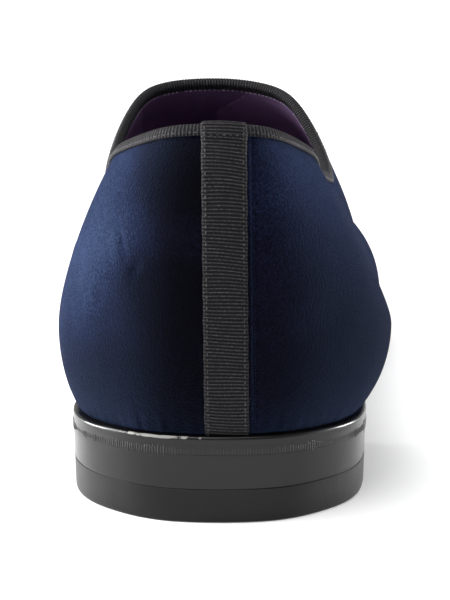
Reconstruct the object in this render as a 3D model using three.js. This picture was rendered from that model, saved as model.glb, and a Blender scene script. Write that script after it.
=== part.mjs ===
// A velvet slipper loafer for the right foot: hollow velvet upper with a ribbon-bound topline and a ribbon
// back strap, on a thin leather sole with a stacked heel. Millimetres, Z up, toe towards +Y, outer side
// towards +X.
import * as THREE from "three";
import { mergeVertices } from "three/addons/utils/BufferGeometryUtils.js";

const size = {
  length: 294, // sole, back edge to toe tip
  ballWidth: 97, // sole across the ball
  waistWidth: 63, // sole at its narrowest
  heelWidth: 68.4, // sole across the seat
  seatHeight: 19.7, // floor to the sole's upper edge at the back
  soleThickness: 4.2,
  soleBevel: 0.6, // rounded upper and lower edge of the sole
  toeSpring: 9, // floor to the sole's underside at the toe tip
  treadStart: 168, // the forefoot stands flat between these two
  treadEnd: 214,
  seatSlope: 0.035, // fall of the seat towards the front
  breast: 71, // front of the heel
  breastHollow: 4.5,
  heelTaper: 0.5, // how much narrower the heel is at the floor
  topPieceHeight: 7.7,
  topPieceBevel: 0.5,
  ledge: 1.8, // how far the sole stands out beyond the foot of the upper
  wall: 1.8, // velvet, stiffening and lining together
  backHeight: 87.4, // floor to the topline at the back
  sideHeight: 69, // floor to the lowest point of the topline
  sideDip: 1, // how much lower the outer side's topline runs
  instepHeight: 87.9, // floor to the tip of the throat
  throatLength: 112, // back of the sole to the tip of the throat
  toeHeight: 37.5, // floor to the top of the toe
  ridgeShift: 1.6, // how far the ridge lies towards the inner side
  heelPole: 34, // where the heel's sections fan out from
  toePole: 258, // where the toe's sections fan out from
  counterBulge: 5.5, // how far the upper swells out beyond its own foot
  bulgeRise: 18.5, // height of that swelling above the sole
  insoleThickness: 2.6,
  ribbon: 0.5, // thickness of the ribbon
  bindingOuter: 2.3, // ribbon showing below the topline, outside
  bindingInner: 2.2, // and inside
  strapWidth: 9.6,
  strapInside: 5, // how far the strap's end hangs down inside
  strapTopShift: 1, // the strap stands off the middle towards the outer side, a little more at its foot
  strapFootShift: 1.7,
  gap: 0.3, // clearance between pieces
  bendWeight: 40, // stations crowd together where the face turns: one radian counts as this length
};

// The sole's outline: half width and centre line, both as shares of the width named in the row.
const outlineRows = [
  { along: 0, width: size.heelWidth, half: 0, centre: 0 },
  { along: 0.005, width: size.heelWidth, half: 0.172, centre: 0 },
  { along: 0.03, width: size.heelWidth, half: 0.34, centre: 0 },
  { along: 0.065, width: size.heelWidth, half: 0.451, centre: 0 },
  { along: 0.11, width: size.heelWidth, half: 0.499, centre: 0 },
  { along: 0.18, width: size.heelWidth, half: 0.498, centre: 0.012 },
  { along: 0.26, width: size.waistWidth, half: 0.515, centre: 0.045 },
  { along: 0.36, width: size.waistWidth, half: 0.492, centre: 0.075 },
  { along: 0.46, width: size.ballWidth, half: 0.363, centre: 0.053 },
  { along: 0.56, width: size.ballWidth, half: 0.43, centre: 0.042 },
  { along: 0.64, width: size.ballWidth, half: 0.478, centre: 0.022 },
  { along: 0.7, width: size.ballWidth, half: 0.493, centre: 0.003 },
  { along: 0.78, width: size.ballWidth, half: 0.465, centre: -0.018 },
  { along: 0.86, width: size.ballWidth, half: 0.402, centre: -0.034 },
  { along: 0.93, width: size.ballWidth, half: 0.31, centre: -0.042 },
  { along: 0.975, width: size.ballWidth, half: 0.2, centre: -0.044 },
  { along: 1, width: size.ballWidth, half: 0, centre: -0.044 },
];

// How far the upper's sections swell out on each side, and how high above the sole.
const swellRows = [
  { along: 0, outer: 0.5, inner: 0.5, rise: 1.05 },
  { along: 0.05, outer: 1, inner: 0.78, rise: 1.03 },
  { along: 0.15, outer: 1.44, inner: 1.05, rise: 1 },
  { along: 0.25, outer: 1.15, inner: 1.4, rise: 0.95 },
  { along: 0.33, outer: 0.9, inner: 1.65, rise: 0.9 },
  { along: 0.4, outer: 0.75, inner: 1.6, rise: 0.84 },
  { along: 0.47, outer: 0.62, inner: 1.35, rise: 0.77 },
  { along: 0.56, outer: 0.5, inner: 0.95, rise: 0.69 },
  { along: 0.66, outer: 0.42, inner: 0.58, rise: 0.61 },
  { along: 0.8, outer: 0.35, inner: 0.35, rise: 0.55 },
  { along: 0.92, outer: 0.3, inner: 0.3, rise: 0.52 },
  { along: 1, outer: 0.3, inner: 0.3, rise: 0.52 },
];

// Above the swelling: how upright each side stands, a share of the height left to the ridge, and how broad
// the crown is, a share of the half width.
const crownRows = [
  { along: 0, outerSide: 0.9, innerSide: 0.9, outerCrown: 0.95, innerCrown: 0.95 },
  { along: 0.05, outerSide: 0.46, innerSide: 0.54, outerCrown: 0.54, innerCrown: 0.62 },
  { along: 0.15, outerSide: 0.14, innerSide: 0.28, outerCrown: 0.3, innerCrown: 0.38 },
  { along: 0.25, outerSide: 0.18, innerSide: 0.33, outerCrown: 0.4, innerCrown: 0.46 },
  { along: 0.33, outerSide: 0.32, innerSide: 0.58, outerCrown: 0.55, innerCrown: 0.6 },
  { along: 0.4, outerSide: 0.4, innerSide: 0.72, outerCrown: 0.66, innerCrown: 0.68 },
  { along: 0.47, outerSide: 0.34, innerSide: 0.62, outerCrown: 0.66, innerCrown: 0.7 },
  { along: 0.56, outerSide: 0.38, innerSide: 0.56, outerCrown: 0.62, innerCrown: 0.7 },
  { along: 0.66, outerSide: 0.49, innerSide: 0.57, outerCrown: 0.61, innerCrown: 0.64 },
  { along: 0.8, outerSide: 0.55, innerSide: 0.58, outerCrown: 0.6, innerCrown: 0.6 },
  { along: 0.92, outerSide: 0.64, innerSide: 0.64, outerCrown: 0.64, innerCrown: 0.64 },
  { along: 1, outerSide: 0.7, innerSide: 0.7, outerCrown: 0.68, innerCrown: 0.68 },
];

// The ridge over the instep and vamp, from the toe's height at 0 to the instep's at 1.
const ridgeRows = [
  { along: 0, share: 1.1 },
  { along: 0.1, share: 1.15 },
  { along: 0.2, share: 1.18 },
  { along: 0.29, share: 1.2 },
  { along: 0.34, share: 1.14 },
  { along: 0.381, share: 1 },
  { along: 0.442, share: 0.82 },
  { along: 0.51, share: 0.625 },
  { along: 0.595, share: 0.415 },
  { along: 0.68, share: 0.25 },
  { along: 0.782, share: 0.105 },
  { along: 0.88, share: 0 },
  { along: 1, share: -0.06 },
];

// The topline seen from the side, from its lowest height at 0 to the height named in its row at 1.
const toplineRows = [
  { along: -0.1, height: size.backHeight, share: 1.04 },
  { along: 0.03, height: size.backHeight, share: 1 },
  { along: 0.11, height: size.backHeight, share: 0.84 },
  { along: 0.22, height: size.backHeight, share: 0.62 },
  { along: 0.33, height: size.backHeight, share: 0.42 },
  { along: 0.44, height: size.backHeight, share: 0.25 },
  { along: 0.55, height: size.backHeight, share: 0.1 },
  { along: 0.64, height: size.backHeight, share: 0 },
  { along: 0.71, height: size.instepHeight, share: 0.05 },
  { along: 0.765, height: size.instepHeight, share: 0.17 },
  { along: 0.81, height: size.instepHeight, share: 0.36 },
  { along: 0.855, height: size.instepHeight, share: 0.58 },
  { along: 0.9, height: size.instepHeight, share: 0.77 },
  { along: 0.94, height: size.instepHeight, share: 0.885 },
  { along: 0.97, height: size.instepHeight, share: 0.945 },
  { along: 1, height: size.instepHeight, share: 1 },
  { along: 1.05, height: size.instepHeight, share: 1.05 },
];

// A smooth curve through points in order, with each slope taken from its neighbours.
function curveThrough(keys, values) {
  const slope = keys.map((key, i) => {
    const before = Math.max(i - 1, 0);
    const after = Math.min(i + 1, keys.length - 1);
    return (values[after] - values[before]) / (keys[after] - keys[before]);
  });
  return (at) => {
    let i = keys.findIndex((key) => key > at) - 1;
    if (i === -2) i = keys.length - 2;
    i = Math.max(i, 0);
    const span = keys[i + 1] - keys[i];
    const u = (at - keys[i]) / span;
    const v = 1 - u;
    return (
      values[i] * v * v * (1 + 2 * u) +
      values[i + 1] * u * u * (3 - 2 * u) +
      slope[i] * span * u * v * v -
      slope[i + 1] * span * u * u * v
    );
  };
}

// Stations run round the shoe: 0 at the back, 1 at the toe by the outer side and -1 by the inner side.
const turnOf = (along) => Math.acos(1 - 2 * along) / Math.PI;
const alongOf = (turn) => (1 - Math.cos(Math.PI * turn)) / 2;

// The same curve over a table whose rows run from the back to the toe, mirrored past both ends so that
// the shape closes smoothly: sign -1 for widths, which cross zero there, and 1 for everything else.
function tableCurve(rows, valueOf, sign) {
  const turns = rows.map((row) => turnOf(row.along));
  const values = rows.map(valueOf);
  const last = rows.length - 1;
  return curveThrough(
    [-turns[1], ...turns, 2 - turns[last - 1]],
    [sign * values[1], ...values, sign * values[last - 1]],
  );
}

const halfWidth = tableCurve(outlineRows, (row) => row.half * row.width, -1);
const centreLine = tableCurve(outlineRows, (row) => row.centre * row.width, 1);
const outerBulge = tableCurve(swellRows, (row) => row.outer * size.counterBulge, 1);
const innerBulge = tableCurve(swellRows, (row) => row.inner * size.counterBulge, 1);
const bulgeRise = tableCurve(swellRows, (row) => row.rise * size.bulgeRise, 1);
const outerSide = tableCurve(crownRows, (row) => row.outerSide, 1);
const innerSide = tableCurve(crownRows, (row) => row.innerSide, 1);
const outerCrown = tableCurve(crownRows, (row) => row.outerCrown, 1);
const innerCrown = tableCurve(crownRows, (row) => row.innerCrown, 1);
const ridgeHeight = curveThrough(
  ridgeRows.map((row) => row.along * size.length),
  ridgeRows.map((row) => THREE.MathUtils.lerp(size.toeHeight, size.instepHeight, row.share)),
);
const toplineHeight = curveThrough(
  toplineRows.map((row) => row.along * size.throatLength),
  toplineRows.map((row) => THREE.MathUtils.lerp(size.sideHeight, row.height, row.share)),
);

// Height of the sole's underside: level seat slope, arched waist, flat tread, then the toe spring.
function underside(y) {
  const seat = size.seatHeight - size.soleThickness;
  if (y <= size.breast) return seat - size.seatSlope * y;
  if (y < size.treadStart) {
    const span = size.treadStart - size.breast;
    const u = (y - size.breast) / span;
    const v = 1 - u;
    return (seat - size.seatSlope * size.breast) * v * v * (1 + 2 * u) - size.seatSlope * span * u * v * v;
  }
  if (y <= size.treadEnd) return 0;
  return size.toeSpring * ((y - size.treadEnd) / (size.length - size.treadEnd)) ** 1.8;
}

const soleTop = (y) => underside(y) + size.soleThickness;

// A point of the sole's outline, moved inwards by an inset square to the edge.
function outline(turn, inset = 0) {
  const at = (value) => {
    const wrapped = value > 1 ? value - 2 : value <= -1 ? value + 2 : value;
    const around = Math.abs(wrapped);
    const half = Math.sign(wrapped) * halfWidth(around);
    return new THREE.Vector2(centreLine(around) + half, size.length * alongOf(around));
  };
  const step = 1e-3;
  const run = at(turn + step).sub(at(turn - step)).normalize();
  return at(turn).add(new THREE.Vector2(-run.y, run.x).multiplyScalar(inset));
}

// The outer face of the upper. Level 0 is its foot on the sole, bulgeLevel its widest line and 1 the ridge.
// Each section stands in a vertical plane from the sole's edge to a point of the ridge, where it takes on
// the ridge's own slope.
const bulgeLevel = 0.25;
const footSteepness = 0.5;

function upperFace(turn, level) {
  const around = Math.abs(turn);
  const foot = outline(turn, size.ledge);
  const ridgeY = THREE.MathUtils.lerp(size.heelPole, size.toePole, alongOf(around) ** 1.25);
  const ridge = new THREE.Vector2(-size.ridgeShift, ridgeY);
  const out = foot.clone().sub(ridge);
  const reach = out.length();
  out.divideScalar(reach);
  const bulge = turn < 0 ? innerBulge(around) : outerBulge(around);
  const side = turn < 0 ? innerSide(around) : outerSide(around);
  const crown = turn < 0 ? innerCrown(around) : outerCrown(around);
  const rise = bulgeRise(around);
  const footZ = soleTop(foot.y) + size.gap;
  let radius;
  let z;
  if (level <= bulgeLevel) {
    const swing = ((level / bulgeLevel) * Math.PI) / 2;
    radius = reach + bulge * Math.sin(swing);
    z = footZ + rise * ((1 - footSteepness) * (1 - Math.cos(swing)) + (footSteepness * level) / bulgeLevel);
  } else {
    const u = (level - bulgeLevel) / (1 - bulgeLevel);
    const v = 1 - u;
    radius = (reach + bulge) * v * (v * v + 3 * v * u + 3 * u * u * crown);
    z = footZ + rise + (ridgeHeight(ridgeY) - footZ - rise) * u * (3 * v * v * side + 3 * v * u + u * u);
    const slope = ridgeHeight(ridge.y + out.y * radius) - ridgeHeight(ridgeY);
    z += slope * THREE.MathUtils.smoothstep(u, 0, 1);
  }
  return new THREE.Vector3(ridge.x + out.x * radius, ridge.y + out.y * radius, z);
}

// The direction square to that face, pointing outwards.
function upperNormal(turn, level) {
  const step = 1e-3;
  if (level > 1 - 2 * step) {
    const run = upperFace(Math.abs(turn) + step, 1).sub(upperFace(Math.abs(turn) - step, 1));
    return new THREE.Vector3(0, -run.z, run.y).normalize();
  }
  const low = Math.max(level - step, 0);
  const along = upperFace(turn + step, level).sub(upperFace(turn - step, level));
  const up = upperFace(turn, level + step).sub(upperFace(turn, low));
  return along.cross(up).normalize();
}

// The level at which a section meets the topline, or 1 where it runs up to the ridge.
function toplineLevel(turn) {
  const above = (level) => {
    const point = upperFace(turn, level);
    const share = THREE.MathUtils.clamp(point.y / size.throatLength, 0, 1);
    const dip = turn > 0 ? size.sideDip * Math.sin(Math.PI * share) ** 2 : 0;
    return point.z - toplineHeight(point.y) + dip;
  };
  const checks = 240;
  for (let i = 1; i <= checks; i++) {
    if (above(i / checks) < 0) continue;
    let low = (i - 1) / checks;
    let high = i / checks;
    for (let halving = 0; halving < 30; halving++) {
      const middle = (low + high) / 2;
      if (above(middle) < 0) low = middle;
      else high = middle;
    }
    return high;
  }
  return 1;
}

// The station whose section ends on the ridge exactly at the tip of the throat.
function findThroatTurn() {
  let low = 0;
  let high = 1;
  for (let halving = 0; halving < 40; halving++) {
    const middle = (low + high) / 2;
    const tip = upperFace(middle, 1);
    if (toplineHeight(tip.y) < tip.z) low = middle;
    else high = middle;
  }
  return high;
}

const throatTurn = findThroatTurn();

// A section measured along its face: its length from the topline or ridge down to the foot, and the level
// at a given distance below the top.
function sectionRun(turn) {
  const top = Math.abs(turn) >= throatTurn ? 1 : toplineLevel(turn);
  const samples = 160;
  const run = [0];
  let before = upperFace(turn, top);
  for (let i = 1; i <= samples; i++) {
    const point = upperFace(turn, top * (1 - i / samples));
    run.push(run[i - 1] + point.distanceTo(before));
    before = point;
  }
  const levelAt = (distance) => {
    const i = THREE.MathUtils.clamp(run.findIndex((length) => length >= distance), 1, samples);
    const part = THREE.MathUtils.clamp((distance - run[i - 1]) / (run[i] - run[i - 1]), 0, 1);
    return top * (1 - (i - 1 + part) / samples);
  };
  return { length: run[samples], levelAt };
}

// Distances below the top at which the face is drawn: close to the ribbon, evenly from there to the foot.
const evenRows = 10;

function rowDistances(length) {
  const edge = [0, size.bindingOuter, size.bindingOuter + size.bindingInner];
  const even = Array.from({ length: evenRows }, (_, i) => {
    return THREE.MathUtils.lerp(edge[2], length, (i + 1) / evenRows);
  });
  return [...edge, ...even];
}

// Turns between two stations, spread evenly by the length of foot and topline together and by the bend.
function spreadTurns(from, to, count) {
  const samples = 300;
  const turns = [];
  const run = [0];
  let before = null;
  for (let i = 0; i <= samples; i++) {
    const turn = THREE.MathUtils.lerp(from, to, 1 - (1 - i / samples) ** 3);
    const top = Math.abs(turn) >= throatTurn ? 1 : toplineLevel(turn);
    const [foot, tip] = [upperFace(turn, 0), upperFace(turn, top)];
    const facing = upperNormal(turn, bulgeLevel);
    turns.push(turn);
    if (before) {
      const length = foot.distanceTo(before.foot) + tip.distanceTo(before.tip);
      run.push(run[i - 1] + length + facing.angleTo(before.facing) * size.bendWeight);
    }
    before = { foot, tip, facing };
  }
  const spread = [];
  for (let n = 0; n <= count; n++) {
    const wanted = (run[samples] * n) / count;
    const i = Math.max(run.findIndex((length) => length >= wanted), 1);
    const part = (wanted - run[i - 1]) / (run[i] - run[i - 1]);
    spread.push(THREE.MathUtils.lerp(turns[i - 1], turns[i], part));
  }
  spread[0] = from;
  spread[count] = to;
  return spread;
}

// Stations round the whole upper, starting at the back and running by the outer side.
const openingStations = 36;
const vampStations = 24;

function stationTurns() {
  const opening = spreadTurns(0, throatTurn, openingStations);
  const vamp = spreadTurns(throatTurn, 1, vampStations);
  const close = [0.25, 0.6].map((share) => THREE.MathUtils.lerp(vamp[0], vamp[1], share));
  const half = [...opening, ...close, ...vamp.slice(1)];
  const inner = half.slice(1, -1).map((turn) => -turn);
  return [...half, ...inner.reverse()];
}

const stations = stationTurns();

// A closed mesh from a list of triangles, each three points, with shared corners merged.
function solidGeometry(triangles) {
  const geometry = new THREE.BufferGeometry().setFromPoints(triangles.flat());
  const merged = mergeVertices(geometry, 1e-4);
  const index = merged.index.array;
  const kept = [];
  for (let i = 0; i < index.length; i += 3) {
    const [a, b, c] = [index[i], index[i + 1], index[i + 2]];
    if (a !== b && b !== c && c !== a) kept.push(a, b, c);
  }
  merged.setIndex(kept);
  merged.computeVertexNormals();
  return merged;
}

const quad = (a, b, c, d) => [
  [a, b, c],
  [a, c, d],
];

// Side walls between rings of equally many points, from the first ring to the last.
function ringWalls(rings) {
  const triangles = [];
  for (let r = 0; r + 1 < rings.length; r++) {
    const count = rings[r].length;
    for (let i = 0; i < count; i++) {
      const next = (i + 1) % count;
      triangles.push(...quad(rings[r][i], rings[r][next], rings[r + 1][next], rings[r + 1][i]));
    }
  }
  return triangles;
}

// A cap in strips across the shoe, for a ring that starts at the back and pairs off side to side.
function stripCap(ring, facingUp) {
  const count = ring.length;
  const triangles = [];
  for (let i = 0; i < count / 2; i++) {
    const [a, b, c, d] = [ring[i], ring[i + 1], ring[(count - i - 1) % count], ring[(count - i) % count]];
    triangles.push(...(facingUp ? quad(a, b, c, d) : quad(d, c, b, a)));
  }
  return triangles;
}

function flatCap(ring, facingUp) {
  const faces = THREE.ShapeUtils.triangulateShape(
    ring.map((point) => new THREE.Vector2(point.x, point.y)),
    [],
  );
  const flip = !facingUp;
  return faces.map(([a, b, c]) => {
    const [p, q, r] = [ring[a], ring[b], ring[c]];
    const turnsLeft = (q.x - p.x) * (r.y - p.y) - (q.y - p.y) * (r.x - p.x) > 0;
    return turnsLeft === flip ? [p, r, q] : [p, q, r];
  });
}

function makeUpper() {
  const outer = [];
  const inner = [];
  for (const turn of stations) {
    const { length, levelAt } = sectionRun(turn);
    const faces = rowDistances(length).map((distance) => {
      const foot = distance === length;
      const level = foot ? 0 : levelAt(distance);
      const point = upperFace(turn, level);
      const normal = upperNormal(turn, level);
      if (foot) normal.setZ(0).normalize();
      return { point, back: point.clone().addScaledVector(normal, -size.wall) };
    });
    outer.push(faces.map((face) => face.point));
    inner.push(faces.map((face) => face.back));
  }
  const rows = outer[0].length - 1;
  const triangles = [];
  for (let j = 0; j < stations.length; j++) {
    const next = (j + 1) % stations.length;
    for (let row = 0; row < rows; row++) {
      triangles.push(...quad(outer[j][row + 1], outer[next][row + 1], outer[next][row], outer[j][row]));
      triangles.push(...quad(inner[j][row], inner[next][row], inner[next][row + 1], inner[j][row + 1]));
    }
    triangles.push(...quad(inner[j][rows], inner[next][rows], outer[next][rows], outer[j][rows]));
    const open = Math.abs(stations[j]) <= throatTurn && Math.abs(stations[next]) <= throatTurn;
    if (open) triangles.push(...quad(outer[j][0], outer[next][0], inner[next][0], inner[j][0]));
  }
  return solidGeometry(triangles);
}

// The turn and level of the face's point nearest to a target, found step by step from a start.
function nearestOn(start, target) {
  let { turn, level } = start;
  const step = 1e-4;
  for (let i = 0; i < 8; i++) {
    const here = upperFace(turn, level);
    const along = upperFace(turn + step, level).sub(here).divideScalar(step);
    const up = here.clone().sub(upperFace(turn, level - step)).divideScalar(step);
    const miss = target.clone().sub(here);
    const [aa, au, uu] = [along.dot(along), along.dot(up), up.dot(up)];
    const [am, um] = [along.dot(miss), up.dot(miss)];
    const scale = aa * uu - au * au;
    turn += (am * uu - um * au) / scale;
    level = THREE.MathUtils.clamp(level + (um * aa - am * au) / scale, 0, 1);
  }
  return { turn, level };
}

// The stations of the topline, each with the way out of the face and the way past the edge.
function toplineFrames() {
  const inner = stations.filter((turn) => turn < 0 && turn > -throatTurn);
  const turns = [...inner, ...stations.filter((turn) => turn >= 0 && turn <= throatTurn)];
  const edge = turns.map((turn) => {
    const level = turn === throatTurn ? 1 : toplineLevel(turn);
    return { turn, level, point: upperFace(turn, level), out: upperNormal(turn, level) };
  });
  return edge.map((frame, i) => {
    const before = edge[(i - 1 + edge.length) % edge.length].point;
    const after = edge[(i + 1) % edge.length].point;
    const run = after.clone().sub(before).normalize();
    const past = frame.out.clone().cross(run).normalize();
    return { ...frame, past };
  });
}

const place = (frame, out, past) =>
  frame.point.clone().addScaledVector(frame.out, out).addScaledVector(frame.past, past);

// A point that lies a distance below the edge and a distance out from the face.
function belowEdge(frame, below, off) {
  const spot = nearestOn(frame, place(frame, 0, -below));
  return upperFace(spot.turn, spot.level).addScaledVector(upperNormal(spot.turn, spot.level), off);
}

// The ribbon folded over the edge: down the outside, round the edge and down the inside.
function makeBinding() {
  const near = size.gap;
  const far = size.gap + size.ribbon;
  const back = -size.wall;
  const sections = toplineFrames().map((frame) => [
    belowEdge(frame, size.bindingOuter, far),
    place(frame, far, far * 0.5),
    place(frame, far * 0.4, far),
    place(frame, back - far * 0.4, far),
    place(frame, back - far, far * 0.5),
    belowEdge(frame, size.bindingInner / 2, back - far),
    belowEdge(frame, size.bindingInner, back - far),
    belowEdge(frame, size.bindingInner, back - near),
    belowEdge(frame, size.bindingInner / 2, back - near),
    place(frame, back - near, near),
    place(frame, near, near),
    belowEdge(frame, size.bindingOuter, near),
  ]);
  const rings = sections[0].map((_, i) => sections.map((section) => section[i]));
  return solidGeometry(ringWalls([...rings, rings[0]]));
}

// The point of the face a distance below the topline at a given x near the middle of the back.
function backPoint(below, x, levelAt) {
  const level = levelAt(below);
  const start = upperFace(0, level).x;
  let turn = 1e-4;
  for (let i = 0; i < 8; i++) turn *= (x - start) / (upperFace(turn, level).x - start);
  return { point: upperFace(turn, level), out: upperNormal(turn, level) };
}

function makeStrap() {
  const across = 4;
  const rows = 26;
  const lift = 3 * size.gap + size.ribbon; // over the binding
  const { length, levelAt } = sectionRun(0);
  const middle = upperFace(0, 0).x;
  const columns = [];
  for (let i = 0; i <= across; i++) {
    const offset = (0.5 - i / across) * size.strapWidth;
    const xAt = (below) =>
      offset + middle + THREE.MathUtils.lerp(size.strapTopShift, size.strapFootShift, below / length);
    const near = [];
    const far = [];
    for (let row = 0; row <= rows; row++) {
      const below = (length - size.gap) * (1 - row / rows);
      const { point, out } = backPoint(below, xAt(below), levelAt);
      const clear = size.bindingOuter + size.gap;
      const fall = THREE.MathUtils.smoothstep(below, clear, clear + size.bindingOuter);
      const off = THREE.MathUtils.lerp(lift, size.gap, fall);
      near.push(point.clone().addScaledVector(out, off));
      far.push(point.clone().addScaledVector(out, off + size.ribbon));
    }
    const top = backPoint(0, xAt(0), levelAt);
    const frame = { ...top, past: new THREE.Vector3(1, 0, 0).cross(top.out).negate().normalize() };
    const back = -size.wall - lift;
    const t = size.ribbon;
    near.push(place(frame, lift, lift * 0.8), place(frame, lift * 0.5, lift));
    near.push(place(frame, back + lift * 0.5, lift), place(frame, back, lift * 0.8));
    far.push(place(frame, lift + t, lift * 0.8), place(frame, lift * 0.5 + t * 0.4, lift + t));
    far.push(place(frame, back + lift * 0.5 - t * 0.4, lift + t), place(frame, back - t, lift * 0.8));
    for (const below of [size.strapInside * 0.5, size.strapInside]) {
      const inside = backPoint(below, xAt(below), levelAt);
      near.push(inside.point.clone().addScaledVector(inside.out, back));
      far.push(inside.point.clone().addScaledVector(inside.out, back - t));
    }
    columns.push([...far, ...near.reverse()]);
  }
  const triangles = ringWalls(columns);
  const side = (ring, flip) => {
    const count = ring.length;
    for (let i = 0; i < count / 2 - 1; i++) {
      const face = quad(ring[i], ring[i + 1], ring[count - 2 - i], ring[count - 1 - i]);
      triangles.push(...(flip ? face.map(([a, b, c]) => [a, c, b]) : face));
    }
  };
  side(columns[0], true);
  side(columns[across], false);
  return solidGeometry(triangles);
}

// Turns of the points round the sole, evenly spread, starting at the back and running by the outer side.
function soleTurns(count) {
  return Array.from({ length: count }, (_, i) => {
    const turn = (2 * i) / count;
    return turn > 1 ? turn - 2 : turn;
  });
}

function soleRing(turns, inset, heightAt) {
  return turns.map((turn) => {
    const point = outline(turn, inset);
    return new THREE.Vector3(point.x, point.y, heightAt(point.y));
  });
}

function makeOutsole() {
  const turns = soleTurns(88);
  const bevel = size.soleBevel;
  const rings = [
    soleRing(turns, bevel, underside),
    soleRing(turns, 0, (y) => underside(y) + bevel),
    soleRing(turns, 0, (y) => soleTop(y) - bevel),
    soleRing(turns, bevel, soleTop),
  ];
  return solidGeometry([...ringWalls(rings), ...stripCap(rings[3], true), ...stripCap(rings[0], false)]);
}

function makeInsole() {
  const turns = soleTurns(72);
  const inset = size.ledge + size.wall + size.gap;
  const low = (y) => soleTop(y) + size.gap;
  const rings = [
    soleRing(turns, inset, low),
    soleRing(turns, inset, (y) => low(y) + size.insoleThickness * 0.75),
    soleRing(turns, inset + size.insoleThickness * 0.25, (y) => low(y) + size.insoleThickness),
  ];
  return solidGeometry([...ringWalls(rings), ...stripCap(rings[2], true), ...stripCap(rings[0], false)]);
}

// The heel's outline: round the back, then across its hollow front.
function heelRing(inset, heightAt) {
  const steps = 22;
  const front = size.breast - inset;
  let low = 0;
  let high = 0.5;
  for (let halving = 0; halving < 30; halving++) {
    const middle = (low + high) / 2;
    if (outline(middle, inset).y < front) low = middle;
    else high = middle;
  }
  const points = [];
  for (let i = -steps; i <= steps; i++) points.push(outline((low * i) / steps, inset));
  const [left, right] = [points[0], points[points.length - 1]];
  const across = 8;
  for (let i = 1; i < across; i++) {
    const share = i / across;
    const hollow = size.breastHollow * 4 * share * (1 - share);
    points.push(new THREE.Vector2().lerpVectors(right, left, share).sub(new THREE.Vector2(0, hollow)));
  }
  return points.map((point) => new THREE.Vector3(point.x, point.y, heightAt(point.y)));
}

function makeHeelStack() {
  const rings = [
    heelRing(size.heelTaper * 0.6, () => size.topPieceHeight),
    heelRing(0, (y) => underside(y) - size.gap),
  ];
  return solidGeometry([...ringWalls(rings), ...flatCap(rings[1], true), ...flatCap(rings[0], false)]);
}

function makeTopPiece() {
  const rings = [
    heelRing(size.heelTaper + size.topPieceBevel, () => 0),
    heelRing(size.heelTaper, () => size.topPieceBevel),
    heelRing(size.heelTaper * 0.6, () => size.topPieceHeight),
  ];
  return solidGeometry([...ringWalls(rings), ...flatCap(rings[2], true), ...flatCap(rings[0], false)]);
}

const finish = {
  velvet: { color: 0x141c38, roughness: 0.95, metalness: 0 },
  ribbon: { color: 0x26242a, roughness: 0.8, metalness: 0 },
  edgeLeather: { color: 0x1c1b1d, roughness: 0.3, metalness: 0 },
  rubber: { color: 0x19191a, roughness: 0.5, metalness: 0 },
  lining: { color: 0x38224a, roughness: 0.55, metalness: 0 },
};

function piece(name, geometry, look) {
  const mesh = new THREE.Mesh(geometry, new THREE.MeshStandardMaterial(look));
  mesh.name = name;
  return mesh;
}

const shoe = new THREE.Group();
shoe.add(
  piece("upper", makeUpper(), finish.velvet),
  piece("topline_binding", makeBinding(), finish.ribbon),
  piece("back_strap", makeStrap(), finish.ribbon),
  piece("insole", makeInsole(), finish.lining),
  piece("outsole", makeOutsole(), finish.edgeLeather),
  piece("heel_stack", makeHeelStack(), finish.edgeLeather),
  piece("heel_top_piece", makeTopPiece(), finish.rubber),
);

// The origin lies on the floor, under the middle of the shoe.
const bounds = new THREE.Box3().setFromObject(shoe);
const middle = bounds.getCenter(new THREE.Vector3());
shoe.position.set(-middle.x, -middle.y, -bounds.min.z);

export default shoe;
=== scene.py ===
import math

import bmesh
import bpy
import numpy as np
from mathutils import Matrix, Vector


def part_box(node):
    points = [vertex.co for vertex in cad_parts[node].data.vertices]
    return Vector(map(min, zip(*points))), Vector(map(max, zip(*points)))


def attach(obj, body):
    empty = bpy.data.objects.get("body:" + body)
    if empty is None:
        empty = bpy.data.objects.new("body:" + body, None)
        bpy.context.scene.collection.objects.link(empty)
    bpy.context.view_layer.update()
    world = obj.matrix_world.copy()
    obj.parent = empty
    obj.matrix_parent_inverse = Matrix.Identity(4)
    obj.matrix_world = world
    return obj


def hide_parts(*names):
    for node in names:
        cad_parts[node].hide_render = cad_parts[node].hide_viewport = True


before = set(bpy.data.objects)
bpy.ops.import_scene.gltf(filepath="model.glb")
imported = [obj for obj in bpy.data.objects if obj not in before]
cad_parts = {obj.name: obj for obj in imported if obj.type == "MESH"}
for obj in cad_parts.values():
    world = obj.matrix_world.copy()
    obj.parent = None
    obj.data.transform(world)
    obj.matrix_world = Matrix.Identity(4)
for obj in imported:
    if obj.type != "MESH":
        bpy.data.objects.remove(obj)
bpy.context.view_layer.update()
scene = bpy.context.scene
mm = 0.001  # worked out in millimetres from the sole's back edge, placed in metres


def highOf(node):
    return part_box(node)[1] / mm


soleLow, soleHigh = (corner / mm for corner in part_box("outsole"))
clearance = 0.3  # between the solids

# The last: the sizes that the solids have, and what follows from their boxes.
last = {
    "length": soleHigh.y - soleLow.y,
    "ballWidth": 97,
    "waistWidth": 63,
    "heelWidth": 68.4,
    "seatHeight": soleHigh.z,
    "soleThickness": soleHigh.z - highOf("heel_stack").z - clearance,
    "toeSpring": 9,
    "treadStart": 168,
    "treadEnd": 214,
    "seatSlope": 0.035,
    "breast": 71,
    "ledge": 1.8,
    "wall": 1.8,
    "backHeight": 87.4,
    "sideHeight": 69,
    "sideDip": 1,
    "instepHeight": 87.9,
    "throatLength": 112,
    "toeHeight": 37.5,
    "ridgeShift": 1.6,
    "heelPole": 34,
    "toePole": 258,
    "counterBulge": 5.5,
    "bulgeRise": 18.5,
    "bulgeLevel": 0.25,
    "footSteepness": 0.5,
    "footGap": clearance,
}

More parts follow.
